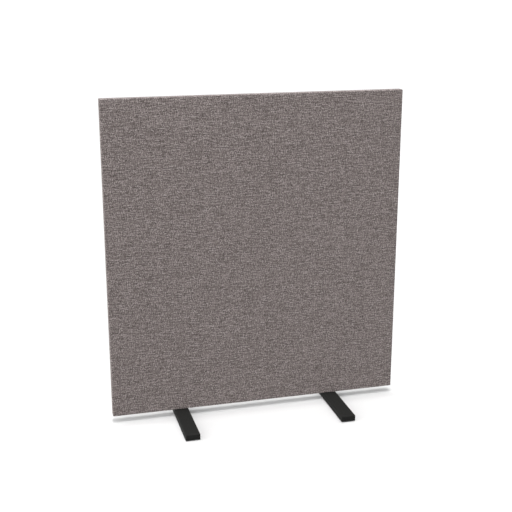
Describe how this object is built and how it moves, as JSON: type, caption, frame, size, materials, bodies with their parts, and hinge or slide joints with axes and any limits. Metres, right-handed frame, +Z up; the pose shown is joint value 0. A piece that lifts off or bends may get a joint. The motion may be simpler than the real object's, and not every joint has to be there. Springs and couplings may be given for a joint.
{
  "type": "acoustic divider screen",
  "caption": "Free-standing acoustic screen: upright fabric-covered absorbing panel on straight black steel feet with levelling glides.",
  "frame": {"origin": "on the floor, under the middle of the panel", "axes": "+X along the panel, to the right seen from the front; +Y from the front to the rear; +Z up"},
  "size_m": [1.2, 0.512, 1.3],
  "materials": {
    "melange_fabric": "matte",
    "felt": "matte",
    "absorber_wool": "matte",
    "pine": "satin",
    "beech": "satin",
    "hardboard": "satin",
    "black_tape": "matte",
    "black_powder_coat": "satin",
    "zinc_plated_steel": "satin",
    "black_nylon": "matte"
  },
  "bodies": {
    "screen": {"front_fabric": "melange_fabric", "rear_fabric": "melange_fabric", "front_felt": "felt", "rear_felt": "felt", "top_rail": "pine", "bottom_rail": "pine", "left_stile": "pine", "middle_stile": "pine", "right_stile": "pine", "frame_dowels": "beech", "left_barrier_board": "hardboard", "right_barrier_board": "hardboard", "front_left_absorber": "absorber_wool", "front_right_absorber": "absorber_wool", "rear_left_absorber": "absorber_wool", "rear_right_absorber": "absorber_wool", "staples": "zinc_plated_steel", "closing_tape": "black_tape", "left_anchor_plate": "zinc_plated_steel", "right_anchor_plate": "zinc_plated_steel", "anchor_screws": "zinc_plated_steel", "left_foot": "black_powder_coat", "right_foot": "black_powder_coat", "foot_washers": "zinc_plated_steel", "foot_bolts": "zinc_plated_steel", "glide_bushes": "black_powder_coat"},
    "left_front_glide": {"left_front_glide_stud": "zinc_plated_steel", "left_front_glide_pad": "black_nylon"},
    "left_rear_glide": {"left_rear_glide_stud": "zinc_plated_steel", "left_rear_glide_pad": "black_nylon"},
    "right_front_glide": {"right_front_glide_stud": "zinc_plated_steel", "right_front_glide_pad": "black_nylon"},
    "right_rear_glide": {"right_rear_glide_stud": "zinc_plated_steel", "right_rear_glide_pad": "black_nylon"}
  },
  "joints": [
    {"name": "left_front_glide_travel", "type": "slide", "parent": "screen", "child": "left_front_glide", "axis": [0, 0, -1], "range_m": [0, 0.008]},
    {"name": "left_rear_glide_travel", "type": "slide", "parent": "screen", "child": "left_rear_glide", "axis": [0, 0, -1], "range_m": [0, 0.008]},
    {"name": "right_front_glide_travel", "type": "slide", "parent": "screen", "child": "right_front_glide", "axis": [0, 0, -1], "range_m": [0, 0.008]},
    {"name": "right_rear_glide_travel", "type": "slide", "parent": "screen", "child": "right_rear_glide", "axis": [0, 0, -1], "range_m": [0, 0.008]}
  ]
}
